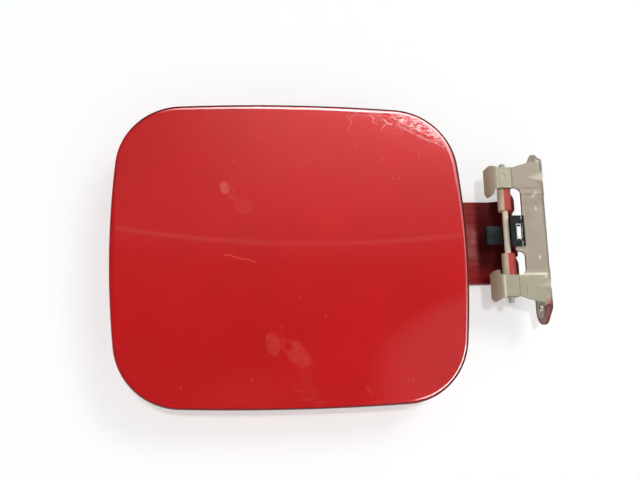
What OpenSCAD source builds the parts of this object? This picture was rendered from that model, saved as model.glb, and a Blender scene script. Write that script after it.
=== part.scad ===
// Car fuel door with a gooseneck hinge, hung as on the left side of a car.
// +Z is up along the hinge pin, -Y faces outward, +X points at the hinge side.
// The origin is midway between the two screw holes, on the bracket's mounting face.

/* [Door] */
// Width of the painted door
door_w = 162.7; // [140:0.1:200]
// Height of the painted door
door_h = 140.2; // [120:0.1:170]
// Radius of the four corners
corner_r = 30.3; // [22:0.1:40]
// Radius of the bowed left and right sides
side_r = 420; // [300:1:900]
// Radius of the bowed top and bottom sides
top_r = 1070; // [600:1:2000]
// Rise of the face from its side edges to its middle
crown_x = 2.0; // [0.5:0.1:3.5]
// Rise of the face from its top and bottom edges to its middle
crown_z = 2.5; // [0.5:0.1:3.5]
// Sheet thickness of the painted skin
skin_t = 0.8; // [0.6:0.05:1.2]
// Width of the hem that is folded over the inner panel
hem_w = 8; // [5:0.5:10]
// Radius of the folded edge
fold_r = 1.4; // [0.8:0.1:1.4]
// Points in each quarter of the outline
outline_n = 22; // [16:1:28]

/* [Inner panel] */
// Sheet thickness of the inner panel
inner_t = 0.8; // [0.6:0.05:1.2]
// Gap between the skin and the inner panel's rim
rim_gap = 0.3; // [0.2:0.05:0.5]
// Height of the pressed land above the rim
land_rise = 3.4; // [2.5:0.1:5]
// Width of the sloped step between rim and land
step_w = 5; // [3:0.5:8]
// Radius of the round recess
recess_r = 27; // [18:0.5:32]
// Depth of the round recess
recess_d = 2.4; // [1:0.1:2.5]
// Distance of the recess from the middle of the door
recess_off = 14; // [8:0.5:20]

/* [Hinge pin] */
// Diameter of the hinge pin
pin_d = 2.9; // [2.5:0.1:4]
// How far the pin stands out past each outer lug
pin_over = 2.6; // [1:0.1:4]
// Radial running clearance of the pin in the knuckles
pin_play = 0.05; // [0.02:0.01:0.1]
// Distance from the door's edge to the pin
edge_to_pin = 21.6; // [20:0.1:26]
// Distance of the door's edge in front of the pin
edge_front = 8; // [7:0.1:10]
// How far the door's middle hangs below the hinge's middle
door_drop = 10.4; // [0:0.1:16]

/* [Gooseneck arm] */
// Sheet thickness of the arm
arm_t = 1.7; // [1.4:0.1:2]
// Width of the arm over its two knuckles
arm_w = 41.4; // [38:0.1:48]
// Length of each rolled knuckle
knuckle_l = 10.3; // [8:0.1:12]
// Depth of the gooseneck behind the pin
neck_depth = 23.5; // [20:0.1:30]
// How far the neck stands out on the far side of the pin
neck_out = 7.6; // [6:0.1:8]
// Distance from the pin to the turn that rises to the door
neck_reach = 36; // [34:0.1:40]
// Length of the foot welded to the inner panel
foot_l = 44; // [30:0.5:48]
// Width of the foot
foot_w = 58; // [50:0.5:66]
// Height of the turned-up edges of the arm
arm_lip = 2.6; // [1.5:0.1:3.5]
// Radius of the notch around the pin, between the knuckles
notch_r = 11.4; // [11:0.1:13]

/* [Hinge bracket] */
// Sheet thickness of the bracket
plate_t = 1.6; // [1.2:0.1:2]
// Distance from the pin to the mounting face
pin_to_face = 19.4; // [18:0.1:24]
// Distance of the screw holes behind the pin
pin_to_holes = 8.5; // [8.2:0.1:12]
// Distance of the plate's front face in front of the pin
plate_front = 4.5; // [4:0.1:5]
// Height of the plate at its fold
plate_h = 68.8; // [68:0.1:74]
// Height over the two ears
ear_h = 62; // [60:0.1:66]
// Width of a lug along the pin
lug_t = 1.6; // [1.2:0.1:2]
// Gap between a knuckle and the lug beside it
knuckle_gap = 0.3; // [0.2:0.05:0.5]
// Distance of the ear's blade tip from the pin
blade_out = 7.6; // [7.2:0.1:9]
// Depth of the ear's blade tip behind the pin
blade_deep = 4.2; // [3:0.1:5]
// How far the blade's stop tooth reaches past the knuckle's end
tooth = 2.6; // [1.5:0.1:4]
// Distance from the pin to the far side of the windows
window_out = 7.1; // [6.9:0.1:8]
// Reach of the web between the windows above the middle
web_top = 6.6; // [6:0.1:8]
// Reach of that web below the middle
web_low = 9.8; // [8.6:0.1:10]
// Distance of the pads' inner edges from the middle
pad_z = 17.9; // [17:0.1:18]
// How far the two pads stand out from the web
pad_rise = 0.5; // [0.3:0.05:0.6]
// Bend radius inside the folds
bend_r = 1.6; // [1:0.1:2.5]
// Distance between the two screw holes
hole_pitch = 70; // [69:0.5:76]
// Diameter of a screw hole
hole_d = 5.6; // [5:0.1:6.5]
// Radius of the lower round tab
tab_r = 8; // [7.6:0.1:9]
// Radius of the upper round tab
top_tab_r = 6.1; // [6:0.1:8]
// Diameter of the raised seat under a screw head
seat_d = 10; // [9:0.5:11]
// Height of that seat
seat_h = 0.6; // [0.3:0.1:1]
// Depth of the flange between the tabs
flange_deep = 10.5; // [8:0.1:12]
// Length of the stiffening darts along the plate
dart_long = 8.4; // [6:0.1:9]
// Length of the darts down the flange
dart_deep = 3.4; // [2.5:0.1:4.5]
// Distance of each dart from the middle of the bracket
dart_z = 26; // [25:0.1:27.5]

/* [Spring clip] */
// Height of the clip's body
clip_h = 14.8; // [13:0.1:15.2]
// Width of the clip's slot
slot_w = 2.8; // [2:0.1:3]
// Height of the clip's slot
slot_h = 8.3; // [7:0.1:8.6]
// Width of the leaf that passes behind the pin
leaf_w = 8.8; // [6:0.1:9.5]
// Thickness of the leaf
leaf_t = 1.5; // [1.2:0.1:1.8]
// Distance from the pin to the end of the leaf
leaf_out = 10; // [8:0.1:10.3]
// Thickness of the clip's wall between the pin and the web
clip_wall = 0.8; // [0.6:0.05:1]
// Clearance between the clip and the pieces near it
clip_gap = 0.25; // [0.1:0.05:0.3]

/* [Latch and buffers] */
// Sheet thickness of the latch striker
striker_t = 1.6; // [1.2:0.1:2.2]
// Width of the latch striker
striker_w = 20; // [16:0.5:26]
// Height of the striker above the inner panel
striker_h = 16; // [14:0.5:20]
// Distance of the striker from the door's left edge
striker_in = 23; // [21:0.5:30]
// Length of the striker's welded foot
striker_foot = 12; // [10:0.5:16]
// Width of the striker's window
catch_w = 11; // [8:0.5:12]
// Height of the striker's window
catch_h = 7; // [5:0.5:8]
// Diameter of a rubber buffer
buffer_d = 11; // [8:0.5:13]
// Height of a rubber buffer
buffer_h = 7; // [4:0.5:10]
// Diameter of the buffer's stem
stem_d = 4.6; // [4:0.1:6]
// Distance of a buffer from the door's left edge
buffer_in = 33; // [31:0.5:36]
// Height of each buffer above or below the door's middle
buffer_z = 42; // [36:0.5:44]

/* [Hidden] */
$fn = 48;
e = 0.01;
far = 100;
pin_x = -pin_to_face;
pin_y = -pin_to_holes;
half_w = door_w / 2;
half_h = door_h / 2;
door_x = pin_x - edge_to_pin - half_w;
face_y = pin_y - edge_front - crown_x;
hem_t = 2 * skin_t + inner_t + 2 * rim_gap;
rim_y = skin_t + rim_gap;
land_y = face_y + crown_x + crown_z + rim_y + inner_t + land_rise;
bore_d = pin_d + 2 * pin_play;
roll_r = bore_d / 2 + arm_t / 2;
knuckle_r = bore_d / 2 + arm_t;
lug_in = arm_w / 2 + knuckle_gap;
lug_out = ear_h / 2;
lug_r = pin_d / 2 + 1.7;
pin_l = 2 * (lug_out + pin_over);
plate_mid = -plate_front + plate_t / 2;
fold_x = pin_to_face - plate_t / 2;
flange_back = pin_to_holes + tab_r;
notch_h = arm_w - 2 * knuckle_l;
foot_y = land_y - pin_y + arm_t / 2;
clip_mid = -0.2;
leaf_z = -1;
slot_x = pin_d / 2 + 2 * clip_gap + clip_wall + 0.3;
slot_z = -0.65;

// Rounded outline of the door, drawn in by d: bowed sides and round corners.
side_c = side_r - half_w;
top_c = top_r - half_h;
span = sqrt(side_c * side_c + top_c * top_c);
near = (pow(side_r - corner_r, 2) - pow(top_r - corner_r, 2) + span * span) / (2 * span);
rise = sqrt(pow(side_r - corner_r, 2) - near * near);
corner_x = -side_c + near * side_c / span + rise * top_c / span;
corner_z = -near * top_c / span + rise * side_c / span;
turn_a = atan2(corner_z, corner_x + side_c);
turn_b = atan2(corner_z + top_c, corner_x);
n_side = floor(outline_n * 0.22);
n_corner = outline_n - 2 * n_side;

function quarter(d, i) =
    i <= n_side
    ? let (a = turn_a * i / n_side) [(side_r - d) * cos(a) - side_c, (side_r - d) * sin(a)]
    : i <= n_side + n_corner
    ? let (a = turn_a + (turn_b - turn_a) * (i - n_side) / n_corner)
        [corner_x + (corner_r - d) * cos(a), corner_z + (corner_r - d) * sin(a)]
    : let (a = turn_b + (90 - turn_b) * (i - n_side - n_corner) / n_side)
        [(top_r - d) * cos(a), (top_r - d) * sin(a) - top_c];

function outline(d) = [
    for (i = [0 : outline_n - 1]) quarter(d, i),
    for (i = [outline_n : -1 : 1]) let (p = quarter(d, i)) [-p[0], p[1]],
    for (i = [0 : outline_n - 1]) let (p = quarter(d, i)) [-p[0], -p[1]],
    for (i = [outline_n : -1 : 1]) let (p = quarter(d, i)) [p[0], -p[1]]
];

function crown(p) = crown_x * pow(p[0] / half_w, 2) + crown_z * pow(p[1] / half_h, 2);

// A ring follows the crowned face at a depth dy, or lies flat at the height y.
function follow(loop, dy) = [for (p = loop) [p[0], face_y + crown(p) + dy, p[1]]];
function flat(loop, y) = [for (p = loop) [p[0], y, p[1]]];
function shrink(loop, s) = [for (p = loop) s * p];
function round_loop(r) = [
    for (p = outline(0))
        let (a = atan2(p[1] / half_h, p[0] / half_w)) [r * cos(a) - recess_off, r * sin(a)]
];

// Closed sheet through a list of rings, with a middle point at each end.
module ring_sheet(rings, first, last) {
    n = len(rings[0]);
    m = len(rings);
    points = concat([first], [for (r = rings) each r], [last]);
    faces = concat(
        [for (j = [0 : n - 1]) [0, 1 + (j + 1) % n, 1 + j]],
        [
            for (k = [0 : m - 2], j = [0 : n - 1])
                [1 + k * n + j, 1 + k * n + (j + 1) % n, 1 + (k + 1) * n + (j + 1) % n]
        ],
        [
            for (k = [0 : m - 2], j = [0 : n - 1])
                [1 + k * n + j, 1 + (k + 1) * n + (j + 1) % n, 1 + (k + 1) * n + j]
        ],
        [for (j = [0 : n - 1]) [1 + m * n, 1 + (m - 1) * n + j, 1 + (m - 1) * n + (j + 1) % n]]
    );
    polyhedron(points = points, faces = faces, convexity = 6);
}

// Bent sheet: a path with rounded corners, given a thickness.
function unit(v) = v / norm(v);
function bend(p, q, s, r, n) =
    let (u = unit(p - q), v = unit(s - q))
    let (half = acos(u * v) / 2)
    let (c = q + unit(u + v) * r / sin(half))
    let (a = q + u * r / tan(half) - c, b = q + v * r / tan(half) - c)
    let (w = a[0] * b[1] - a[1] * b[0] > 0 ? 180 - 2 * half : 2 * half - 180)
    [for (i = [0 : n]) c + [
        a[0] * cos(w * i / n) - a[1] * sin(w * i / n),
        a[0] * sin(w * i / n) + a[1] * cos(w * i / n)
    ]];
function bent(points, radii, n) = [
    points[0],
    for (i = [1 : len(points) - 2])
        each bend(points[i - 1], points[i], points[i + 1], radii[i], n),
    points[len(points) - 1]
];
function normal(path, i) =
    let (p = path[max(i - 1, 0)], q = path[min(i + 1, len(path) - 1)], u = unit(q - p))
    [-u[1], u[0]];
function beside(path, d) = [for (i = [0 : len(path) - 1]) path[i] + d * normal(path, i)];
function strip(path, d1, d2) = concat(
    beside(path, d1),
    [let (p = beside(path, d2)) for (i = [len(p) - 1 : -1 : 0]) p[i]]
);

// Prism standing on the XY plane of the hinge, middle at z = 0.
module upright(points, h) {
    linear_extrude(height = h, center = true, convexity = 6) polygon(points);
}

// Prism of a front view (X, Z), running along Y from y0 to y1.
module facing(points, y0, y1) {
    translate([0, y1, 0])
        rotate([90, 0, 0])
            linear_extrude(height = y1 - y0, convexity = 6) polygon(points);
}

// Prism of a side view (Y, Z), running along X from x0 to x1.
module sideways(points, x0, x1) {
    translate([x0, 0, 0])
        rotate([90, 0, 90])
            linear_extrude(height = x1 - x0, convexity = 6) polygon(points);
}

module at_pin() {
    translate([pin_x, pin_y, 0]) children();
}

module at_door() {
    translate([door_x, 0, -door_drop]) children();
}

// Painted skin: crowned face, rounded edge and hem folded round to the back.
skin_rings = [
    for (s = [0.25, 0.5, 0.75, 0.92]) follow(shrink(outline(fold_r), s), 0),
    follow(outline(fold_r), 0),
    follow(outline(0.3 * fold_r), 0.3 * fold_r),
    follow(outline(0), fold_r),
    follow(outline(0), hem_t - fold_r),
    follow(outline(0.3 * fold_r), hem_t - 0.3 * fold_r),
    follow(outline(fold_r), hem_t),
    follow(outline(hem_w), hem_t),
    follow(outline(hem_w), hem_t - skin_t),
    follow(outline(skin_t), hem_t - skin_t),
    follow(outline(skin_t), skin_t),
    follow(outline(hem_w), skin_t),
    for (s = [0.75, 0.5, 0.25]) follow(shrink(outline(fold_r), s), skin_t)
];

module outer_panel() {
    color([0.72, 0.07, 0.08])
        at_door() ring_sheet(skin_rings, [0, face_y, 0], [0, face_y + skin_t, 0]);
}

// Inner panel: rim inside the hem, sloped step, flat land and a round recess.
land_d = hem_w + 1.5 + step_w;
inner_back = [
    flat(round_loop(recess_r - recess_d), land_y - recess_d),
    flat(round_loop(recess_r), land_y),
    flat(outline(land_d), land_y),
    follow(outline(hem_w + 1.5), rim_y + inner_t),
    follow(outline(skin_t + rim_gap), rim_y + inner_t)
];
inner_front = [
    follow(outline(skin_t + rim_gap), rim_y),
    follow(outline(hem_w + 1.5 + inner_t / 2), rim_y),
    flat(outline(land_d + inner_t / 2), land_y - inner_t),
    flat(round_loop(recess_r + inner_t / 2), land_y - inner_t),
    flat(round_loop(recess_r - recess_d + inner_t / 2), land_y - recess_d - inner_t)
];

module inner_panel() {
    color([0.62, 0.06, 0.07])
        difference() {
            at_door()
                mirror([1, 0, 0])
                    ring_sheet(
                        [for (r = concat(inner_back, inner_front)) [for (p = r) [-p[0], p[1], p[2]]]],
                        [recess_off, land_y - recess_d, 0],
                        [recess_off, land_y - recess_d - inner_t, 0]
                    );
            for (s = [1, -1])
                at_buffer(s) cylinder(d = stem_d + 0.2, h = 6, center = true);
        }
}

// Gooseneck arm: rolled knuckles, neck round the body's edge, foot on the door.
neck_path = bent(
    [
        [roll_r, 0], [roll_r, 2.8], [neck_out, 9.2], [neck_out, neck_depth],
        [-neck_reach + 3, neck_depth], [-neck_reach - 3, foot_y],
        [-neck_reach - foot_l, foot_y]
    ],
    [0, 3.5, 5, 10, 8, 4, 0], 10
);
lip_path = bent(
    [
        [neck_out - 9, neck_depth],
        [-neck_reach + 3, neck_depth], [-neck_reach - 2, foot_y + 3.2]
    ],
    [0, 8, 0], 10
);
corner = 3.4;

module hinge_arm() {
    color([0.45, 0.05, 0.06])
        at_pin()
            difference() {
                union() {
                    cylinder(r = knuckle_r, h = arm_w, center = true);
                    intersection() {
                        upright(strip(neck_path, -arm_t / 2, arm_t / 2), foot_w);
                        facing(
                            [
                                [neck_out + 1.4, -arm_w / 2 + corner],
                                [neck_out + 1.4, arm_w / 2 - corner],
                                [neck_out - 1.4, arm_w / 2 - 0.9], [knuckle_r, arm_w / 2],
                                [-neck_reach + 4, arm_w / 2], [-neck_reach - 9, foot_w / 2],
                                [-neck_reach - foot_l + 8, foot_w / 2],
                                [-neck_reach - foot_l - 1, foot_w / 2 - 9],
                                [-neck_reach - foot_l - 1, -foot_w / 2 + 9],
                                [-neck_reach - foot_l + 8, -foot_w / 2],
                                [-neck_reach - 9, -foot_w / 2], [-neck_reach + 4, -arm_w / 2],
                                [knuckle_r, -arm_w / 2], [neck_out - 1.4, -arm_w / 2 + 0.9]
                            ],
                            -8, 40
                        );
                    }
                    for (s = [1, -1])
                        translate([0, 0, s * (arm_w - arm_t) / 2])
                            upright(strip(lip_path, -arm_t / 2 - arm_lip, 0), arm_t);
                }
                cylinder(d = bore_d, h = arm_w + 2, center = true);
                cylinder(r = notch_r, h = notch_h, center = true);
                both()
                    facing(
                        [
                            [knuckle_r + 0.3, notch_h / 2 - 1], [neck_out + 3, notch_h / 2 - 1],
                            [neck_out + 3, notch_h / 2 + 4], [neck_out + 0.4, notch_h / 2 + 3.2],
                            [neck_out - 1.4, notch_h / 2 + 0.9], [knuckle_r + 0.3, notch_h / 2]
                        ],
                        -1, 14
                    );
            }
}

// Latch striker: foot on the land and an upright tongue with a window.
striker_x = striker_in - half_w;
module latch_striker() {
    path = bent([[-striker_foot, striker_t / 2], [0, striker_t / 2], [0, striker_h]], [0, 3, 0], 8);
    color([0.75, 0.76, 0.78])
        translate([door_x + striker_x, land_y, -door_drop])
            difference() {
                upright(strip(path, -striker_t / 2, striker_t / 2), striker_w);
                translate([0, striker_h - 3 - catch_h / 2, 0])
                    cube([4 * striker_t, catch_h, catch_w], center = true);
                for (s = [1, -1])
                    translate([0, striker_h, s * striker_w / 2])
                        rotate([45, 0, 0]) cube([4 * striker_t, 4, 4], center = true);
            }
}

// Rubber buffers: domed cushions pressed through the land.
module at_buffer(s) {
    translate([door_x + buffer_in - half_w, land_y, s * buffer_z - door_drop])
        rotate([-90, 0, 0]) children();
}

module buffer() {
    rotate_extrude($fn = 40)
        polygon([
            [0, -inner_t - 1.4], [stem_d / 2 - 0.5, -inner_t - 1.4],
            [stem_d / 2 + 0.4, -inner_t - 0.3], [stem_d / 2, -inner_t - 0.1],
            [stem_d / 2, 0], [buffer_d / 2, 0], [buffer_d / 2, 1.4],
            for (a = [0 : 10 : 80])
                [
                    buffer_d / 2 - 3 + 2.2 * cos(a),
                    buffer_h - 2.2 + 2.2 * sin(a)
                ],
            [0, buffer_h]
        ]);
}

module buffer_upper() {
    color([0.1, 0.1, 0.1]) at_buffer(1) buffer();
}

module buffer_lower() {
    color([0.1, 0.1, 0.1]) at_buffer(-1) buffer();
}

// Hinge bracket: bent plate with two ears, two windows, lugs, darts and a flange.
blade_turn = 4.2;
tip_r = 1.3;
bracket_path = bent(
    [
        [-blade_out, blade_deep], [-blade_turn, plate_mid], [fold_x, plate_mid],
        [fold_x, flange_back + 1]
    ],
    [0, bend_r + plate_t / 2, bend_r + plate_t / 2, 0], 8
);
tooth_z = arm_w / 2 - tooth;
ear_in = arm_w / 2 + knuckle_gap;
ear_top = [
    [-blade_out - 3, tooth_z + tip_r],
    for (a = [180 : 20 : 320])
        [-blade_out - 0.1 + tip_r + tip_r * cos(a), tooth_z + tip_r + tip_r * sin(a)],
    [-blade_turn - 1.1, ear_in - 0.7], [-blade_turn - 0.4, ear_in - 0.2], [-blade_turn + 0.4, ear_in],
    for (a = [90 : -15 : 0])
        [window_out - 3.4 + 3.4 * cos(a), ear_in - 3.4 + 3.4 * sin(a)]
];
ear_edge = [
    [fold_x + 9, plate_h / 2], [fold_x - 2, plate_h / 2], [fold_x - 8, plate_h / 2 - 1.2],
    [6, ear_h / 2 + 0.8], [3.6, ear_h / 2], [-3, ear_h / 2],
    [-blade_turn - 0.8, ear_h / 2 + 0.8], [-blade_turn - 1.6, ear_h / 2 + 1.5],
    for (a = [90 : 30 : 180])
        [-blade_out + 1.2 + 1.2 * cos(a), ear_h / 2 + 0.6 + 1.2 * sin(a)],
    [-blade_out - 3, ear_h / 2 + 0.6]
];
web_x = pin_d / 2 + clip_gap + clip_wall + clip_gap;
function window_low(z) = [
    for (a = [0 : -15 : -75])
        [window_out - 2.4 + 2.4 * cos(a), z + 2.4 + 2.4 * sin(a)],
    [window_out - 2.4, z], [web_x + 0.8, z], [web_x, z - 0.8], [web_x, 0]
];
function plate_view(z) = concat(ear_edge, ear_top, window_low(z), [[fold_x + 9, 0]]);
function flange_view(r) = [
    [-9, 0], [-9, plate_h / 2], [-plate_front + 1, plate_h / 2 + 0.6],
    for (a = [145 : -10 : 5])
        [pin_to_holes + r * cos(a), hole_pitch / 2 + r * sin(a)],
    [pin_to_holes + r, hole_pitch / 2 - 5], [pin_to_holes + r - 1.6, hole_pitch / 2 - 9],
    [flange_deep + 0.8, hole_pitch / 2 - 13], [flange_deep, hole_pitch / 2 - 16], [flange_deep, 0]
];

module both() {
    children();
    mirror([0, 0, 1]) children();
}

module lug(z) {
    translate([0, 0, z]) {
        cylinder(r = lug_r, h = lug_t);
        translate([-lug_r, -plate_front + plate_t / 2, 0])
            cube([2 * lug_r, plate_front - plate_t / 2, lug_t]);
    }
}

// Folded sheet between two heights, set back by dy.
module fold(z0, z1, dy) {
    translate([0, dy, (z0 + z1) / 2])
        upright(strip(bracket_path, -plate_t / 2, plate_t / 2), z1 - z0);
}

// V-shaped dart pressed into the fold; t moves it inward.
module dart(t, l) {
    turn = atan2(dart_long, dart_deep);
    translate([fold_x + plate_t / 2 - dart_long / 2, -plate_front + dart_deep / 2, dart_z])
        rotate([0, 0, -turn])
            rotate([90, 0, 0])
                linear_extrude(height = l, center = true)
                    polygon([[-t, 0], [9, -1.5 * (9 + t)], [9, 1.5 * (9 + t)]]);
}

// Raised arc on the upper ear, and a short rib beside the lower ear.
module emboss() {
    rise = 0.3;
    intersection() {
        translate([-2, -plate_front - rise, dart_z])
            rotate([-90, 0, 0])
                difference() {
                    cylinder(r = 2.7, h = plate_t);
                    translate([0, 0, -e]) cylinder(r = 2, h = plate_t + 1);
                }
        translate([-3, -plate_front - 1, dart_z - 3]) cube([6, 3, 6]);
    }
    translate([6.4, -plate_front - rise, -dart_z - 4.4]) cube([0.8, plate_t, 4.4]);
}

module hinge_bracket() {
    color([0.68, 0.63, 0.56])
        at_pin()
            difference() {
                union() {
                    intersection() {
                        union() {
                            both() fold(pad_z, far / 2, 0);
                            fold(-pad_z - e, pad_z + e, pad_rise);
                        }
                        union() {
                            facing(plate_view(web_top), -10, 10);
                            mirror([0, 0, 1]) facing(plate_view(web_low), -10, 10);
                            sideways(flange_view(top_tab_r), fold_x - 4, fold_x + 4);
                            mirror([0, 0, 1]) sideways(flange_view(tab_r), fold_x - 4, fold_x + 4);
                        }
                    }
                    both() {
                        lug(lug_in);
                        lug(lug_out - lug_t);
                        translate([fold_x - plate_t / 2 - seat_h, pin_to_holes, hole_pitch / 2])
                            rotate([0, 90, 0])
                                cylinder(d = seat_d, h = seat_h + e);
                        intersection() {
                            dart(1.8 * plate_t / 1.5, 18);
                            upright(
                                [
                                    [fold_x - 10, plate_mid], [fold_x, plate_mid],
                                    [fold_x, plate_mid + 8]
                                ],
                                far
                            );
                        }
                    }
                    emboss();
                }
                cylinder(d = pin_d, h = far, center = true);
                translate([0, -9, slot_z - slot_h / 2 - clip_gap])
                    cube([window_out - 0.8, 9, slot_h + 2 * clip_gap]);
                both() {
                    dart(0, 40);
                    translate([fold_x, pin_to_holes, hole_pitch / 2])
                        rotate([0, 90, 0])
                            cylinder(d = hole_d, h = 20, center = true);
                }
            }
}

module hinge_pin() {
    color([0.66, 0.6, 0.55])
        at_pin()
            rotate_extrude()
                polygon([
                    [0, -pin_l / 2], [pin_d / 2 - 0.3, -pin_l / 2],
                    [pin_d / 2, -pin_l / 2 + 0.3], [pin_d / 2, pin_l / 2 - 0.3],
                    [pin_d / 2 - 0.3, pin_l / 2], [0, pin_l / 2]
                ]);
}

// Spring clip: slotted cover wrapped round the web, with a leaf behind the pin.
clip_left = pin_d / 2 + clip_gap;
clip_front = -plate_front - 0.9;
clip_back = pin_d / 2 + clip_gap + leaf_t + 0.4;
web_front = -plate_front + pad_rise;
leaf_mid = pin_d / 2 + clip_gap + leaf_t / 2;
leaf_path = bent(
    [[clip_left + 1.5, leaf_mid], [-3.4, leaf_mid], [-leaf_out + 0.8, leaf_mid - 0.9]],
    [0, 6, 0], 6
);

// Block between two corners, given at the pin.
module block(a, b) {
    translate(a) cube(b - a);
}

module spring_clip() {
    z0 = clip_mid - clip_h / 2;
    z1 = clip_mid + clip_h / 2;
    back = web_front + plate_t + clip_gap;
    right = window_out - 0.1;
    color([0.07, 0.08, 0.08])
        at_pin() {
            difference() {
                union() {
                    block([clip_left - 1.2, clip_front, z0], [right, web_front - clip_gap, z1]);
                    block([right - 0.6, clip_front - 0.5, z0], [right, clip_front + e, z1]);
                    block([clip_left, clip_front, z0 + 0.8], [clip_left + clip_wall, clip_back, z1]);
                    block([clip_left, back, z0 + 1.4], [right + 1, back + 1.1, z1]);
                    block([clip_left, leaf_mid - leaf_t / 2, z0 + 1.4], [clip_left + 1.6, clip_back, z1]);
                    translate([0, 0, leaf_z])
                        upright(strip(leaf_path, -leaf_t / 2, leaf_t / 2), leaf_w);
                    translate([-leaf_out + 0.8, leaf_mid - 0.9, leaf_z])
                        cylinder(d = leaf_t + 0.4, h = leaf_w, center = true);
                }
                block(
                    [slot_x, -20, slot_z - slot_h / 2],
                    [slot_x + slot_w, web_front - clip_gap + e, slot_z + slot_h / 2]
                );
                block(
                    [slot_x, back - 0.5, slot_z - slot_h / 2],
                    [window_out + 4, 20, slot_z + slot_h / 2 + 1.2]
                );
            }
            block(
                [slot_x - e, clip_front + 0.35, slot_z - slot_h / 2 - e],
                [slot_x + 0.5, web_front - clip_gap, slot_z + slot_h / 2 - 0.6]
            );
            for (z = [slot_z - slot_h / 2 - e, slot_z + slot_h / 2 - 1.5])
                block(
                    [slot_x - e, clip_front + 0.35, z],
                    [slot_x + slot_w - 0.7, web_front - clip_gap, z + 0.9]
                );
        }
}

outer_panel();
inner_panel();
hinge_arm();
latch_striker();
buffer_upper();
buffer_lower();
hinge_bracket();
hinge_pin();
spring_clip();
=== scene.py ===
"""Looks of a painted car fuel door on its gooseneck hinge, laid out as an add-on.

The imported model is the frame. The painted skin and the inner panel are drawn again
with finer pressed forms, the stampings get rounded edges, and every piece gets a
procedural material. Lengths are in metres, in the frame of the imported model.
"""

import math
import random

import bmesh
import bpy
from bpy.props import FloatProperty, FloatVectorProperty, PointerProperty
from mathutils import Matrix, Vector


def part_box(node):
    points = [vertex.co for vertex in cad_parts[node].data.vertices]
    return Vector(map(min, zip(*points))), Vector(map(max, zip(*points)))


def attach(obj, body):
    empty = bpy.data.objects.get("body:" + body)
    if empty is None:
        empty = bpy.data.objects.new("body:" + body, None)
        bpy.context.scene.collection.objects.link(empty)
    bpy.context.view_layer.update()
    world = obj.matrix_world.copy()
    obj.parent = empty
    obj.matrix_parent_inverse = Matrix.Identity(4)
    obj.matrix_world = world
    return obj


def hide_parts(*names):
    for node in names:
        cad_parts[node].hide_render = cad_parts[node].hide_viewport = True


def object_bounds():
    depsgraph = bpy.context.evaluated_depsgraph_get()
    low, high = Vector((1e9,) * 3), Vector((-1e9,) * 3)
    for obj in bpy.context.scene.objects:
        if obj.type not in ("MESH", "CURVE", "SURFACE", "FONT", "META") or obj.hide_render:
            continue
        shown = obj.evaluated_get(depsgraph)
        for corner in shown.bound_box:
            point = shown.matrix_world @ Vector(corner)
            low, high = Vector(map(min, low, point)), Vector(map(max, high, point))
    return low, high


bl_info = {
    "name": "Fuel door with gooseneck hinge",
    "version": (1, 0, 0),
    "blender": (4, 5, 0),
    "location": "View3D > Sidebar > Fuel Door",
    "description": "Builds the visible pieces, materials and stage of a car fuel door",
    "category": "Object",
}

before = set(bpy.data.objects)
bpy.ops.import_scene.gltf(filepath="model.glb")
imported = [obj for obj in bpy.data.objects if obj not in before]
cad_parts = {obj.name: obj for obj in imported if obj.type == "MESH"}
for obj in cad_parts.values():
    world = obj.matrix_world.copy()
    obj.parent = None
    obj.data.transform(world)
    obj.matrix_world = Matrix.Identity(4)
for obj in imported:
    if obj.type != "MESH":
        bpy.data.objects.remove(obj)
CAD_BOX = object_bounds()

MM = 0.001
SKIN_LO, SKIN_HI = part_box("outer_panel")
PIN_LO, PIN_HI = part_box("hinge_pin")
PIN = Vector(((PIN_LO[0] + PIN_HI[0]) / 2, (PIN_LO[1] + PIN_HI[1]) / 2, 0))
DOOR_W = SKIN_HI[0] - SKIN_LO[0]
DOOR_H = SKIN_HI[2] - SKIN_LO[2]
DOOR = Vector(((SKIN_HI[0] + SKIN_LO[0]) / 2, SKIN_LO[1], (SKIN_HI[2] + SKIN_LO[2]) / 2))


# ---------------------------------------------------------------- settings


def number(name, text, default, low, high, **more):
    return FloatProperty(
        name=name, description=text, default=default, min=low, max=high, **more)


def length(*args):
    return number(*args, unit="LENGTH")


def power(*args):
    return number(*args, unit="POWER")


def colour(name, text, default):
    return FloatVectorProperty(
        name=name, description=text, default=default, min=0, max=1, size=3, subtype="COLOR")


class FuelDoorPanel(bpy.types.PropertyGroup):
    """Sizes and colours of the painted door."""

    corner_r: length("Corner radius", "Radius of the door's four corners", 30.3 * MM, 0.022, 0.04)
    side_r: length("Side radius", "Radius of the bowed left and right sides", 0.420, 0.3, 0.9)
    top_r: length("Top radius", "Radius of the bowed top and bottom sides", 1.070, 0.6, 2.0)
    crown_x: length("Crown across", "Rise of the face from its sides to its middle",
        2.0 * MM, 0.0, 0.0035)
    crown_z: length("Crown upright", "Rise of the face from top and bottom to its middle",
        2.5 * MM, 0.0, 0.0035)
    skin_t: length("Skin thickness", "Sheet thickness of the painted skin",
        0.8 * MM, 0.0006, 0.0012)
    hem_t: length("Hem thickness", "Thickness of the folded edge", 3.0 * MM, 0.002, 0.004)
    hem_w: length("Hem width", "Width of the hem folded to the back", 8.0 * MM, 0.005, 0.01)
    fold_r: length("Edge radius", "Radius of the folded edge", 1.4 * MM, 0.0008, 0.0014)
    roll_r: length("Roll radius", "Radius of the face's gentle roll before the fold",
        5.0 * MM, 0.002, 0.006)
    front_r: length("Fold radius", "Radius of the fold on its front side",
        1.8 * MM, 0.001, 0.0022)
    roll: number("Roll angle", "Angle in degrees over which the face rolls before the fold",
        17.0, 5, 25)
    paint: colour("Paint", "Colour of the gloss paint", (0.605, 0.0070, 0.0085))
    haze: colour("Haze", "Colour of the dull smudges in the clear coat", (0.72, 0.13, 0.105))


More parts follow.
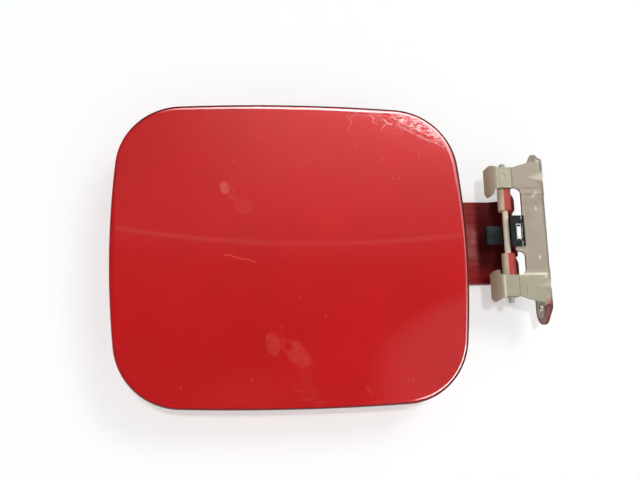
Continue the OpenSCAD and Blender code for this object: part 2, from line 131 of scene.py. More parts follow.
class FuelDoorHinge(bpy.types.PropertyGroup):
    """Colours and wear of the hinge."""

    beige: colour("Bracket paint", "Colour of the bracket's beige paint", (0.445, 0.412, 0.305))
    rosy: colour("Overspray tint", "Colour where thin red spray dusted the beige paint",
        (0.345, 0.287, 0.224))
    red: colour("Arm red", "Colour of the thin red paint on the arm", (0.40, 0.022, 0.026))
    nylon: colour("Clip", "Colour of the moulded clip", (0.0095, 0.0110, 0.0112))
    edge: length("Edge rounding", "Rounding of the stamped edges", 0.28 * MM, 0.0001, 0.0005)


class FuelDoorStage(bpy.types.PropertyGroup):
    """Camera, light and backdrop."""

    lens: number("Lens", "Focal length of the camera in millimetres", 53.44, 20, 120)
    ground: length("Backdrop gap", "Gap between the hinge and the backdrop behind it",
        3.0 * MM, 0.0, 0.1)
    key: power("Key light", "Power of the key light in watts", 3.5, 0, 200)
    top: power("Overhead light", "Power of the small overhead light in watts", 4.7, 0, 200)
    fill: number("Fill light", "Strength of the room's light", 0.25, 0, 3)
    window: number("Window", "Brightness of the window that glossy paint mirrors", 21.0, 0, 60)
    glow: number("Backdrop glow", "Light the backdrop gives off, which pales its shadows",
        0.40, 0, 2)
    backdrop: colour("Backdrop", "Colour of the backdrop and the floor", (0.742, 0.772, 0.774))


# ---------------------------------------------------------------- node helpers


class Nodes:
    """Short calls for wiring nodes."""

    def __init__(self, nt):
        self.nt = nt

    def plug(self, socket, value):
        """Link or constant into a socket; a colour of three numbers gets its alpha."""
        if isinstance(value, bpy.types.NodeSocket):
            self.nt.links.new(value, socket)
        elif socket.type == "RGBA" and len(value) == 3:
            socket.default_value = (*value, 1.0)
        else:
            socket.default_value = value

    def node(self, kind, ins=None, **props):
        made = self.nt.nodes.new(kind)
        for key, value in props.items():
            setattr(made, key, value)
        for key, value in (ins or {}).items():
            self.plug(made.inputs[key], value)
        return made

    def math(self, op, a, b=0.0):
        return self.node("ShaderNodeMath", {0: a, 1: b}, operation=op).outputs[0]

    def chain(self, op, total, *others):
        for other in others:
            total = self.math(op, total, other)
        return total

    def add(self, *terms): return self.chain("ADD", *terms)
    def sub(self, a, b): return self.math("SUBTRACT", a, b)
    def mul(self, *terms): return self.chain("MULTIPLY", *terms)
    def most(self, *terms): return self.chain("MAXIMUM", *terms)
    def least(self, *terms): return self.chain("MINIMUM", *terms)
    def size(self, a): return self.math("ABSOLUTE", a)

    def length(self, a, b):
        """Distance from the origin in two directions."""
        return self.math("SQRT", self.add(self.mul(a, a), self.mul(b, b)))

    def ramp(self, value, low, high, to_low=0.0, to_high=1.0):
        """Smooth step of value from low to high."""
        made = self.node(
            "ShaderNodeMapRange",
            {"Value": value, "From Min": low, "From Max": high,
             "To Min": to_low, "To Max": to_high},
            interpolation_type="SMOOTHSTEP")
        return made.outputs[0]

    def tint(self, base, colour, *masks):
        """Base with the colour laid over it, as strong as the masks' product."""
        return self.mix(self.mul(*masks), base, colour)

    def mix(self, factor, a, b):
        made = self.node("ShaderNodeMix", {0: factor, 6: a, 7: b}, data_type="RGBA")
        return made.outputs[2]


class Tree(Nodes):
    """One material with its shader, and the piece's own coordinates."""

    def __init__(self, name):
        self.mat = bpy.data.materials.new(name)
        self.mat.use_nodes = True
        super().__init__(self.mat.node_tree)
        self.nt.nodes.clear()
        self.out = self.nt.nodes.new("ShaderNodeOutputMaterial")
        self.shader = self.nt.nodes.new("ShaderNodeBsdfPrincipled")
        self.nt.links.new(self.shader.outputs[0], self.out.inputs[0])
        self.coord = self.nt.nodes.new("ShaderNodeTexCoord").outputs["Object"]
        split = self.node("ShaderNodeSeparateXYZ", {0: self.coord})
        self.x, self.y, self.z = split.outputs

    def noise(self, scale, detail=3.0, rough=0.5, where=None, distortion=0.0):
        made = self.node(
            "ShaderNodeTexNoise",
            {"Vector": where or self.coord, "Scale": scale, "Detail": detail,
             "Roughness": rough, "Distortion": distortion})
        return made.outputs[0]

    def wobble(self, scale, amount, detail=3):
        """Noise round zero, to make a border ragged."""
        return self.mul(self.sub(self.noise(scale, detail, 0.6), 0.5), amount)

    def offset(self, cx, cz):
        """Distances along X and Z from a point on the face, all in millimetres."""
        return (self.mul(self.sub(self.x, cx * MM), 1 / MM),
                self.mul(self.sub(self.z, cz * MM), 1 / MM))

    def from_pin(self):
        """Distances from the pin's middle along X, Y and Z, in millimetres."""
        return (self.mul(self.sub(self.x, PIN.x), 1 / MM),
                self.mul(self.sub(self.y, PIN.y), 1 / MM), self.mul(self.z, 1 / MM))

    def normal(self):
        """The piece's own surface direction, as X, Y and Z."""
        where = self.node("ShaderNodeTexCoord").outputs["Normal"]
        return self.node("ShaderNodeSeparateXYZ", {0: where}).outputs

    def moved(self, by):
        """Coordinates shifted by one amount on all axes, for another draw of a noise."""
        made = self.node("ShaderNodeMapping", {"Vector": self.coord, "Location": (by, by, by)})
        return made.outputs[0]

    def stretched(self, angle, along, across):
        """Coordinates turned about Y and scaled, for streaks on the door's face."""
        made = self.node(
            "ShaderNodeMapping",
            {"Vector": self.coord, "Rotation": (0, angle, 0), "Scale": (along, 1.0, across)})
        return made.outputs[0]

    def spot(self, cx, cz, a, b, angle=0.0, soft=0.5, wobble=0.0, wobble_scale=120.0):
        """Soft ellipse on the door's face; all lengths in millimetres."""
        dx, dz = self.offset(cx, cz)
        c, s = math.cos(angle), math.sin(angle)
        u = self.mul(self.add(self.mul(dx, c), self.mul(dz, s)), 1 / a)
        v = self.mul(self.sub(self.mul(dz, c), self.mul(dx, s)), 1 / b)
        r = self.length(u, v)
        if wobble:
            r = self.add(r, self.wobble(wobble_scale, wobble, 4))
        return self.ramp(r, 1.0 + soft, 1.0 - soft)

    def stroke(self, points, width, strength=1.0):
        """Thin curved scratch through points (x, z) in millimetres."""
        parts = []
        for (x0, z0), (x1, z1) in zip(points, points[1:]):
            length = math.hypot(x1 - x0, z1 - z0)
            ux, uz = (x1 - x0) / length, (z1 - z0) / length
            dx, dz = self.offset(x0, z0)
            t = self.add(self.mul(dx, ux), self.mul(dz, uz))
            t = self.least(self.most(t, 0.0), length)
            d = self.length(self.sub(dx, self.mul(t, ux)), self.sub(dz, self.mul(t, uz)))
            parts.append(self.ramp(d, width, width * 0.35, 0.0, strength))
        return self.most(*parts)

    def bump(self, height, distance, strength=1.0, normal=None):
        """Bump of the given height, in metres, on top of another one if given."""
        ins = {"Height": height, "Distance": distance, "Strength": strength}
        if normal is not None:
            ins["Normal"] = normal
        return self.node("ShaderNodeBump", ins).outputs[0]

    def set(self, **values):
        """Constants and links on the shader's own sockets."""
        for key, value in values.items():
            self.plug(self.shader.inputs[key.replace("_", " ")], value)


# ---------------------------------------------------------------- mesh helpers


def new_object(name, data):
    made = bpy.data.objects.new(name, data)
    bpy.context.scene.collection.objects.link(made)
    return made


def paint(obj, material):
    obj.data.materials.clear()
    obj.data.materials.append(material)
    for face in obj.data.polygons:
        face.material_index = 0


def rounded_copy(node, name, width, angle=32.0):
    """A stamping with its CAD shape, joined faces and rounded edges."""
    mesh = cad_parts[node].data.copy()
    mesh.name = name
    bm = bmesh.new()
    bm.from_mesh(mesh)
    bmesh.ops.remove_doubles(bm, verts=bm.verts, dist=2e-6)
    bmesh.ops.dissolve_limit(
        bm, angle_limit=math.radians(0.6), verts=bm.verts, edges=bm.edges)
    bm.to_mesh(mesh)
    bm.free()
    piece = new_object(name, mesh)
    piece.matrix_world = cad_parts[node].matrix_world.copy()
    bevel = piece.modifiers.new("edges", "BEVEL")
    bevel.width = width
    bevel.segments = 2
    bevel.limit_method = "ANGLE"
    bevel.angle_limit = math.radians(angle)
    bevel.use_clamp_overlap = True
    bevel.harden_normals = True
    return piece


class DoorForm:
    """The door's outline and crowned face, as the sizes in the panel say."""

    def __init__(self, s):
        self.s = s
        self.hw, self.hh = DOOR_W / 2, DOOR_H / 2
        self.side_c, self.top_c = s.side_r - self.hw, s.top_r - self.hh
        span = math.hypot(self.side_c, self.top_c)
        r1, r2 = s.side_r - s.corner_r, s.top_r - s.corner_r
        near = (r1 * r1 - r2 * r2 + span * span) / (2 * span)
        rise = math.sqrt(r1 * r1 - near * near)
        self.cx = -self.side_c + near * self.side_c / span + rise * self.top_c / span
        self.cz = -near * self.top_c / span + rise * self.side_c / span
        self.ta = math.atan2(self.cz, self.cx + self.side_c)
        self.tb = math.atan2(self.cz + self.top_c, self.cx)

    def quarter(self, d, i, n_side, n_corner):
        s = self.s
        if i <= n_side:
            a = self.ta * i / n_side
            return (s.side_r - d) * math.cos(a) - self.side_c, (s.side_r - d) * math.sin(a)
        if i <= n_side + n_corner:
            a = self.ta + (self.tb - self.ta) * (i - n_side) / n_corner
            r = s.corner_r - d
            return self.cx + r * math.cos(a), self.cz + r * math.sin(a)
        a = self.tb + (math.pi / 2 - self.tb) * (i - n_side - n_corner) / n_side
        return (s.top_r - d) * math.cos(a), (s.top_r - d) * math.sin(a) - self.top_c

    def outline(self, d, n_side=14, n_corner=30):
        n = 2 * n_side + n_corner
        q = [self.quarter(d, i, n_side, n_corner) for i in range(n + 1)]
        return (q[:n] + [(-x, z) for x, z in reversed(q[1:])]
                + [(-x, -z) for x, z in q[:n]] + [(x, -z) for x, z in reversed(q[1:])])

    def crown(self, x, z):
        s = self.s
        return s.crown_x * (x / self.hw) ** 2 + s.crown_z * (z / self.hh) ** 2

    def follow(self, loop, dy):
        return [(DOOR.x + x, DOOR.y + self.crown(x, z) + dy, DOOR.z + z) for x, z in loop]

    def flat(self, loop, y):
        return [(DOOR.x + x, y, DOOR.z + z) for x, z in loop]


def ring_mesh(name, rings, first=None, last=None, closed=False):
    """Quads between rings of equal count, with a fan at each given end point."""
    n = len(rings[0])
    verts = [p for ring in rings for p in ring]
    faces = []
    pairs = range(len(rings) if closed else len(rings) - 1)
    for k in pairs:
        a, b = k * n, ((k + 1) % len(rings)) * n
        for j in range(n):
            faces.append((a + j, a + (j + 1) % n, b + (j + 1) % n, b + j))
    if first is not None:
        verts.append(first)
        faces += [(len(verts) - 1, (j + 1) % n, j) for j in range(n)]
    if last is not None:
        verts.append(last)
        base = (len(rings) - 1) * n
        faces += [(len(verts) - 1, base + j, base + (j + 1) % n) for j in range(n)]
    mesh = bpy.data.meshes.new(name)
    mesh.from_pydata(verts, [], faces)
    bm = bmesh.new()
    bm.from_mesh(mesh)
    bmesh.ops.recalc_face_normals(bm, faces=bm.faces)
    bm.to_mesh(mesh)
    bm.free()
    mesh.shade_smooth()
    return mesh


def arc(cx, cy, r, a0, a1, n):
    turns = [math.radians(a0 + (a1 - a0) * i / n) for i in range(n + 1)]
    return [(cx + r * math.cos(a), cy + r * math.sin(a)) for a in turns]


# ---------------------------------------------------------------- materials

# Small dots and dabs on the face: place x and z, half sizes, angle in radians, and strength.
# Here and below, places on the face and lengths are in millimetres.
DABS = (
    (-137.3, 43.1, 0.45, 0.6, 0, 0.22), (-93.5, 44.8, 0.6, 0.45, 0, 0.22),
    (-92.3, 39.4, 0.4, 0.7, 0, 0.20), (-75.1, 24.0, 0.5, 0.45, 0, 0.26),
    (-72.0, 24.0, 0.5, 0.45, 0, 0.28), (-68.7, 2.5, 0.45, 0.4, 0, 0.22),
    (-65.3, -4.1, 0.5, 0.4, 0, 0.24), (-142.4, -33.4, 0.35, 0.6, 0, 0.2),
    (-120.3, -31.8, 0.8, 0.4, 0.9, 0.26), (-108.7, -40.2, 0.4, 1.1, -0.1, 0.28),
    (-72.8, -31.3, 0.4, 0.4, 0, 0.2), (-91.7, -45.9, 0.5, 0.4, 0.6, 0.2),
    (-48.6, -17.6, 0.4, 0.5, 0, 0.2), (-88.6, -61.0, 0.8, 0.35, -0.7, 0.16),
    (-72.1, -68.8, 0.7, 0.5, 0.4, 0.34), (-69.8, -68.3, 0.5, 0.6, 0, 0.36),
    (-172.3, -70.2, 0.5, 0.9, 0.3, 0.24), (-142.0, -67.4, 0.45, 1.1, 0, 0.3),
    (-128.2, -44.4, 0.4, 0.6, 0, 0.28), (-90.8, -72.3, 1.4, 0.9, -0.8, 0.18),
    (-89.3, -75.0, 1.0, 0.5, -0.6, 0.18), (-119.1, 57.5, 4.2, 0.7, 0, 0.5),
    (-61.9, 36.0, 0.5, 1.7, 0, 0.20), (-79.4, 33.0, 0.4, 1.1, 0.1, 0.18),
    (-149.2, 31.5, 0.4, 0.9, 0.5, 0.2), (-60.7, 48.4, 0.6, 0.6, 0, 0.3),
)
# Single scratches on the face: points x and z, half width, and strength.
SCRATCHES = (
    (((-132.6, 28.2), (-125.2, 29.0), (-118.3, 30.5), (-110.4, 33.2), (-104.2, 35.6)),
     0.34, 0.13),
    (((-95.4, 54.4), (-93.4, 51.3), (-95.4, 47.2)), 0.5, 0.26),
    (((-89.9, 56.6), (-94.6, 52.6)), 0.45, 0.26),
    (((-84.4, 55.2), (-82.6, 53.6), (-83.4, 51.6), (-81.4, 50.8)), 0.45, 0.24),
    (((-77.9, 53.2), (-76.2, 51.0), (-74.4, 50.7)), 0.5, 0.34),
    (((-77.4, 50.6), (-79.6, 47.2)), 0.45, 0.28),
    (((-104.7, -58.7), (-98.0, -58.9)), 0.3, 0.12),
    (((-128.1, -45.0), (-128.8, -50.2)), 0.35, 0.12),
    (((-150.7, 20.6), (-148.4, 16.9)), 0.35, 0.26),
    (((-117.6, -62.0), (-115.4, -66.4)), 0.7, 0.08),
    (((-101.0, 21.0), (-90.5, 23.4), (-82.0, 23.0)), 0.3, 0.08),
)
# The one deep scratch, below the middle on the left.
DEEP_SCRATCH = ((-153.3, -12.3), (-151.6, -12.2), (-149.0, -13.0),
                (-145.4, -14.2), (-142.4, -14.4), (-139.8, -15.6))
DEEP_RED = (0.78, 0.085, 0.05)
# Painted shade for the dark reflection line on the door's rounded edge.
RIM_PAINTED_SHADE = (0.070, 0.010, 0.016)
# A point on the inner border of the scratched corner, and how steeply the wear sets in.
CORNER = (-83.3, 56.6)
CORNER_RISE = (435, 900)


def red_gloss(panel, front):
    """Gloss red paint with orange peel; the front also has its marks."""
    t = Tree("red_gloss_front" if front else "red_gloss_back")
    cloud = t.noise(22, 3, 0.55)
    grain = t.noise(700, 2, 0.6)
    dark = tuple(c * 0.96 for c in panel.paint)
    light = tuple(min(1.0, c * 1.04) for c in panel.paint)
    colour = t.mix(t.ramp(cloud, 0.35, 0.65), dark, light)
    peel = t.add(t.mul(t.noise(260, 2, 0.5), 0.7), t.mul(t.noise(900, 2, 0.5), 0.3))
    rough = t.ramp(t.noise(60, 4, 0.6), 0.3, 0.7, 0.30, 0.38)
    if front:
        # Finger smudges in the middle, and a wiped patch low on the door.
        fine = t.ramp(t.noise(330, 4, 0.65), 0.34, 0.62, 0.45, 1.0)
        thumb = t.mul(t.spot(-152.9, 18.8, 2.0, 3.0, 0.25, 0.3, 0.5, 300), 0.66)
        ring = t.spot(-144.5, 10.3, 4.2, 3.1, -0.35, 0.16, 0.3, 220)
        inner = t.spot(-145.0, 10.6, 3.7, 2.5, -0.35, 0.3, 0.3, 220)
        ring = t.add(t.mul(ring, 0.07), t.mul(t.sub(ring, inner), 0.10))
        trail = t.mul(t.spot(-149.6, 14.2, 3.2, 1.1, -0.8, 0.6, 0.7, 300), 0.12)
        wipe = t.spot(-132.3, -51.6, 3.1, 5.0, 0.2, 0.14, 1.1, 210)
        wing = t.spot(-122.4, -56.0, 8.2, 3.9, -0.80, 0.2, 1.3, 170)
        hole = t.spot(-125.8, -53.2, 1.7, 2.4, 0.5, 0.5, 0.7, 300)
        wing = t.mul(wing, t.sub(1.0, hole))
        under = t.mul(t.spot(-118.6, -66.5, 2.0, 8.5, 0.35, 0.8, 0.9, 150), 0.35)
        broom = t.ramp(t.noise(1.0, 3, 0.6, t.stretched(0.42, 90, 800)), 0.42, 0.62)
        broom = t.mul(t.spot(-117.3, -74.0, 7.4, 3.2, -0.55, 0.5, 0.8, 150), broom)
        veil = t.mul(t.spot(-143.0, -73.0, 17, 7, 0.1, 0.9, 0.7, 70), 0.22)
        cloudy = t.mul(t.most(wipe, wing, under, broom, veil), fine, 0.25)
        marks = t.most(t.mul(thumb, fine), ring, trail, cloudy)
        dabs = [t.mul(t.spot(*dab, 0.5), amount) for *dab, amount in DABS]
        marks = t.most(marks, *dabs, *[t.stroke(*scratch) for scratch in SCRATCHES])
        # Wash scratches: long thin streaks at several angles.
        lines = [t.noise(1.0, 1, 0.4, t.stretched(angle, 26 + 9 * i, 1700 + 260 * i))
                 for i, angle in enumerate((0.12, -0.35, 0.9, 2.2))]
        scratches = t.most(*[t.ramp(line, 0.70, 0.78) for line in lines])
        speck = t.ramp(t.noise(420, 1, 0.5), 0.76, 0.82, 0, 0.3)
        marks = t.most(marks, t.mul(scratches, 0.035), t.mul(speck, 0.3))
        cut = t.stroke(DEEP_SCRATCH, 0.40, 0.8)
        # The upper right corner is dull with curly hair scratches, from a line outward.
        s = t.add(t.mul(t.sub(t.x, CORNER[0] * MM), CORNER_RISE[0]),
                  t.mul(t.sub(t.z, CORNER[1] * MM), CORNER_RISE[1]))
        worn = t.ramp(s, -2.5, 1.0)
        near = t.mul(t.ramp(s, -14.0, -1.0), t.ramp(t.noise(60, 3, 0.6), 0.40, 0.60))
        curls = []
        for i, (scale, width) in enumerate(((300, 0.016), (460, 0.02), (640, 0.026))):
            line = t.noise(scale, 1.5, 0.6, t.moved(0.31 * i), 1.2)
            curls.append(t.ramp(t.size(t.sub(line, 0.5)), width, width * 0.25))
        curls = t.most(*curls)
        marks = t.most(marks, t.mul(curls, near, 0.16))
        mottle = t.noise(900, 3, 0.6, t.stretched(0.5, 0.45, 1.4), 0.8)
        mottle = t.ramp(mottle, 0.45, 0.54, 0.03, 1.0)
        mottle = t.mul(mottle, t.ramp(t.noise(85, 3, 0.6), 0.36, 0.58, 0.6, 1.0))
        mottle = t.mul(mottle, t.sub(1.0, t.mul(curls, 0.6)))
        weight = t.sub(1.0, t.mul(worn, t.sub(0.97, mottle)))
        colour = t.mix(marks, colour, panel.haze)
        colour = t.mix(cut, colour, DEEP_RED)
        # Painted shade: a dark reflection line painted on the rounded edge, narrower at the lower
        # left.
        nx, ny, nz = t.normal()
        facing = t.mul(ny, -1.0)
        turned = t.ramp(t.add(nx, nz), 0.05, -0.15, 0.0, 0.15)
        rim = t.mul(t.ramp(t.add(facing, turned), 0.953, 0.90), t.ramp(facing, -0.6, -0.2))
        colour = t.tint(colour, RIM_PAINTED_SHADE, rim, 0.88)
        weight = t.most(weight, t.ramp(facing, 0.996, 0.985))
        scuff = t.mul(scratches, 0.10)
        coat = t.least(t.add(t.mul(marks, 0.35), scuff, 0.03), 0.6)
        coat_bump = t.bump(peel, 0.00002, 0.2)
        coat_bump = t.bump(t.mul(curls, worn), 0.000004, 0.7, coat_bump)
    else:
        dust = t.ramp(t.noise(95, 5, 0.7), 0.48, 0.75)
        colour = t.tint(colour, (0.33, 0.07, 0.055), dust, 0.25)
        coat = t.add(t.mul(dust, 0.25), 0.12)
        weight = 1.0
        coat_bump = t.bump(peel, 0.00005, 0.6)
    t.set(Base_Color=colour, Roughness=rough, Coat_Weight=weight, Coat_Roughness=coat,
          Coat_IOR=1.5, Normal=t.bump(grain, 0.00002, 0.15), Coat_Normal=coat_bump,
          Specular_IOR_Level=0.1)
    return t.mat


def weld_spots(t, centres, radius):
    """Shallow dimples of resistance welds, as a height from 0 to -1."""
    dishes = []
    for cx, cz in centres:
        u = t.mul(t.sub(t.x, cx), 1 / radius)
        v = t.mul(t.sub(t.z, cz), 1 / radius)
        r = t.length(u, v)
        dishes.append(t.sub(t.ramp(r, 1.0, 0.8), t.mul(t.ramp(r, 1.35, 1.0), 0.35)))
    return t.most(*dishes)


# Colours of the arm, with painted sheen, painted reflection streaks and painted shade among them.
ARM_THIN = (0.22, 0.05, 0.045)
ARM_SHEEN_STREAK = (0.55, 0.19, 0.16)
ARM_PAINTED_SHEEN = (0.62, 0.23, 0.20)
ARM_SHADE_LINE = (0.050, 0.006, 0.007)
ARM_SHEEN_LINE = (0.60, 0.13, 0.11)
ARM_PAINTED_SHADE = (0.058, 0.007, 0.008)
KNUCKLE_REDS = (0.57, 0.10, 0.085), (0.49, 0.073, 0.063)
KNUCKLE_BEIGES = (0.68, 0.58, 0.44), (0.58, 0.49, 0.37)
# The foot's welds: first row from the foot's end, and the distances along and across.
WELD_START, WELD_ALONG, WELD_ACROSS, WELD_R = 9 * MM, 12 * MM, 20 * MM, 3.0 * MM


def arm_red(hinge):
    """Thin red paint on the arm, with the beige half of its knuckles."""
    t = Tree("arm_red")
    dx, dy, _ = t.from_pin()
    r = t.length(dx, dy)
    cloud = t.noise(70, 4, 0.6)
    thin = t.ramp(t.noise(160, 5, 0.7), 0.4, 0.68)
    base = t.mix(t.ramp(cloud, 0.3, 0.7), tuple(c * 0.72 for c in hinge.red), hinge.red)
    base = t.tint(base, ARM_THIN, thin, 0.25)
    # Painted sheen: faint pale streaks of reflection along the arm.
    streak = t.ramp(t.noise(1.0, 4, 0.6, t.stretched(0.1, 40, 500)), 0.5, 0.75)
    base = t.tint(base, ARM_SHEEN_STREAK, streak, 0.16)
    # Painted shade deep in the neck, darkest toward the pin and weaker low down.
    deep = t.ramp(t.y, PIN.y + 4 * MM, PIN.y + 16 * MM)
    near = t.ramp(dx, -9.0, -5.6)
    shade = t.mul(deep, near, t.ramp(t.z, -17 * MM, -10 * MM, 0.45, 0.86))
    # Painted sheen: a pale patch near the door's edge, where the neck catches light.
    pale = t.mul(t.ramp(dx, -6.4, -9.5), t.ramp(t.noise(150, 4, 0.6), 0.3, 0.65, 0.5, 1.0))
    pale = t.mul(pale, t.ramp(t.z, -13 * MM, -5 * MM, 0.10, 1.0))
    pale = t.mul(pale, t.ramp(t.z, 11 * MM, 5 * MM, 0.25, 1.0))
    base = t.tint(base, ARM_PAINTED_SHEEN, deep, pale, 0.62)
    # Painted reflection streaks, dark and pale, along the neck.
    lines = t.noise(1.0, 3, 0.55, t.stretched(0.04, 28, 760))
    base = t.tint(base, ARM_SHADE_LINE, deep, t.ramp(lines, 0.46, 0.60, 0.0, 0.28))
    base = t.tint(base, ARM_SHEEN_LINE, deep, t.ramp(lines, 0.36, 0.28, 0.0, 0.22))
    base = t.mix(shade, base, ARM_PAINTED_SHADE)
    # Knuckles: beige on the left, with a crisp edge, and bright red on the right.
    knuckle = t.ramp(r, 3.6, 3.25)
    edge = t.add(dx, t.wobble(330, 0.35))
    left = t.ramp(edge, -0.9, -1.15)
    bright = t.mix(t.ramp(cloud, 0.3, 0.7), *KNUCKLE_REDS)
    round_pin = t.mul(t.ramp(r, 8.5, 7.0), t.ramp(t.y, PIN.y + 7 * MM, PIN.y + 5 * MM))
    base = t.mix(round_pin, base, bright)
    beige = t.mix(t.ramp(t.noise(240, 4, 0.6), 0.4, 0.7), *KNUCKLE_BEIGES)
    base = t.tint(base, beige, knuckle, left)
    rough = t.ramp(t.noise(220, 4, 0.6), 0.3, 0.7, 0.36, 0.5)
    x0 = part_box("hinge_arm")[0][0] + WELD_START
    centres = [(x0 + i * WELD_ALONG, side * WELD_ACROSS) for i in range(3) for side in (-1, 0, 1)]
    spots = weld_spots(t, centres, WELD_R)
    on_foot = t.ramp(t.x, PIN.x - 40 * MM, PIN.x - 43 * MM)
    bump = t.bump(t.mul(spots, on_foot, -1.0), 0.0005, 0.8)
    bump = t.bump(t.noise(420, 4, 0.6), 0.00006, 0.5, bump)
    t.set(Base_Color=base, Roughness=rough, Normal=bump, Specular_IOR_Level=0.1)
    return t.mat


# Colours of the bracket, with painted light and shade on the ears, the upper tab, the darts and
# the specks among them.
LOWER_TINT = (0.90, 0.895, 0.88)
PLATE_BROWN = (0.25, 0.20, 0.155)
DIRT = (0.26, 0.17, 0.12)
EAR_PAINTED_LIGHT = (0.76, 0.59, 0.41)
BLADE_PAINTED_SHADE = (0.30, 0.18, 0.12)
FOLD_PAINTED_HIGHLIGHT = (0.93, 0.88, 0.74)
UPPER_TAB_PAINTED_LIGHT = (0.68, 0.60, 0.49)
TAB_REDS = (0.26, 0.035, 0.035), (0.33, 0.075, 0.065)
PLATE_BAND_BROWN = (0.235, 0.175, 0.125)
DART_PAINTED_LIGHT = (0.84, 0.76, 0.60)
CHIP = (0.72, 0.66, 0.56)
SPECK_HIGHLIGHT = (0.80, 0.70, 0.58)
# Places of the painted highlight specks on the plate, from the pin's middle, in millimetres.
HIGHLIGHT_SPECKS = (13.0, 17.2), (14.3, 18.6), (13.9, 11.0), (14.0, -12.6), (16.0, -22.0)
SCREW_Z = 35.0


def bracket_beige(hinge):
    """Satin beige paint with red overspray, chips and stamped marks, and painted light and shade
    on its folds, blades, darts and specks.
    """
    t = Tree("bracket_beige")
    dx, dy, dz = t.from_pin()
    cloud = t.noise(55, 4, 0.6)
    fine = t.noise(420, 4, 0.6)
    low = t.ramp(dz, -2.0, -14.0)
    greenish = tuple(a * b for a, b in zip(hinge.beige, LOWER_TINT))
    base = t.mix(low, hinge.beige, greenish)
    base = t.mix(t.ramp(cloud, 0.35, 0.7), base, tuple(c * 0.9 for c in hinge.beige))
    # Dusting of red over the upper plate and round the middle.
    dust = t.mul(t.ramp(dz, -20.5, -17.5), t.ramp(dx, 1.5, 4.0))
    dust = t.mul(dust, t.ramp(t.noise(90, 5, 0.65), 0.32, 0.68, 0.7, 1.0))
    base = t.mix(dust, base, hinge.rosy)
    upper = t.mul(t.ramp(dz, 16.5, 22.0), t.ramp(dx, 1.5, 4.0))
    base = t.tint(base, PLATE_BROWN, upper, 0.35)
    dirt = t.mul(t.ramp(t.noise(130, 5, 0.7), 0.52, 0.72), t.ramp(dx, 2.0, 10.0))
    base = t.tint(base, DIRT, dirt, 0.3)
    # Painted light and shade on the ears: lighter near the fold, a brown painted shade with the
    # red door's cast where the blades turn away, and a painted highlight line along the fold.
    blade = t.ramp(dx, -5.8, -7.6)
    base = t.tint(base, EAR_PAINTED_LIGHT, t.ramp(dx, -3.4, -4.6), 0.5)
    base = t.tint(base, BLADE_PAINTED_SHADE, blade, 0.45)
    fold = t.ramp(t.size(t.add(dx, 3.9)), 0.75, 0.25)
    fold = t.mul(fold, t.ramp(dz, 0.0, -20.0, 0.3, 0.75))
    base = t.mix(fold, base, FOLD_PAINTED_HIGHLIGHT)
    # On the flange, the upper tab is lightened with painted light; the lower round tab was painted
    # red with its screw in place.
    on_flange = t.ramp(dx, 15.0, 16.4)
    # Painted light on the upper tab.
    base = t.tint(base, UPPER_TAB_PAINTED_LIGHT, on_flange, t.mul(t.ramp(dz, 32.0, 35.0), 0.8))
    tab = t.mul(on_flange, t.ramp(dz, -31.5, -34.5))
    hy = t.sub(dy, -PIN.y / MM)
    hz = t.sub(t.size(dz), SCREW_Z)
    seat = t.add(t.length(hy, hz), t.wobble(300, 1.2))
    outside = t.ramp(seat, 4.7, 5.2)
    red = t.mix(t.ramp(t.noise(200, 4, 0.6), 0.3, 0.7), *TAB_REDS)
    base = t.tint(base, red, tab, outside, 0.94)
    back_red = t.mul(on_flange, t.ramp(dy, 2.0, 9.0), t.ramp(dz, 10.0, -10.0))
    base = t.tint(base, red, back_red, outside, 0.5)
    # A darker brown band across the plate, level with the upper knuckle.
    band = t.mul(t.ramp(t.size(t.sub(dz, 14.5)), 4.0, 1.0), t.ramp(dx, 5.0, 8.0))
    band = t.mul(band, t.ramp(t.noise(120, 4, 0.65), 0.35, 0.62, 0.3, 1.0))
    base = t.tint(base, PLATE_BAND_BROWN, band, 0.55)
    # Painted light on the pressed darts' slopes, stronger on the slope that faces down, against
    # their shading.
    slope = t.normal()[2]
    steep = t.size(slope)
    dart = t.mul(t.ramp(steep, 0.12, 0.28), t.ramp(steep, 0.85, 0.7), t.ramp(dx, 5.5, 7.0))
    dart = t.mul(dart, t.ramp(t.size(dz), 32.0, 30.0))
    base = t.tint(base, DART_PAINTED_LIGHT, dart, t.ramp(slope, -0.3, 0.3, 0.62, 0.3))
    # Chips, and bright specks of painted highlight.
    chips = t.ramp(t.noise(360, 2, 0.5), 0.72, 0.76)
    base = t.tint(base, CHIP, chips, 0.5)
    for cx, cz in HIGHLIGHT_SPECKS:
        r = t.length(t.sub(dx, cx), t.mul(t.sub(dz, cz), 0.6))
        base = t.mix(t.ramp(t.add(r, t.wobble(700, 1.1)), 0.75, 0.2), base, SPECK_HIGHLIGHT)
    rough = t.ramp(t.noise(190, 4, 0.6), 0.3, 0.7, 0.28, 0.44)
    # A faint joggle where each ear leaves the plate.
    front = t.ramp(dy, -3.6, -4.2)
    crease = t.mul(t.ramp(dx, 2.6, 3.4), t.ramp(t.size(dz), 20.0, 21.5))
    bump = t.bump(t.mul(crease, front), 0.0004, 0.8)
    bump = t.bump(t.add(t.mul(fine, 0.5), t.mul(cloud, 1.4)), 0.00018, 0.55, bump)
    t.set(Base_Color=base, Roughness=rough, Normal=bump, Coat_Weight=0.25, Coat_Roughness=0.22)
    return t.mat


# Painted light: the pin's paint made much paler than the bracket's beige.
PIN_LIT_PALES = (0.93, 0.77, 0.61), (0.98, 0.85, 0.69)
PIN_SPECK = (0.30, 0.20, 0.14)
PIN_END = (0.46, 0.41, 0.34)


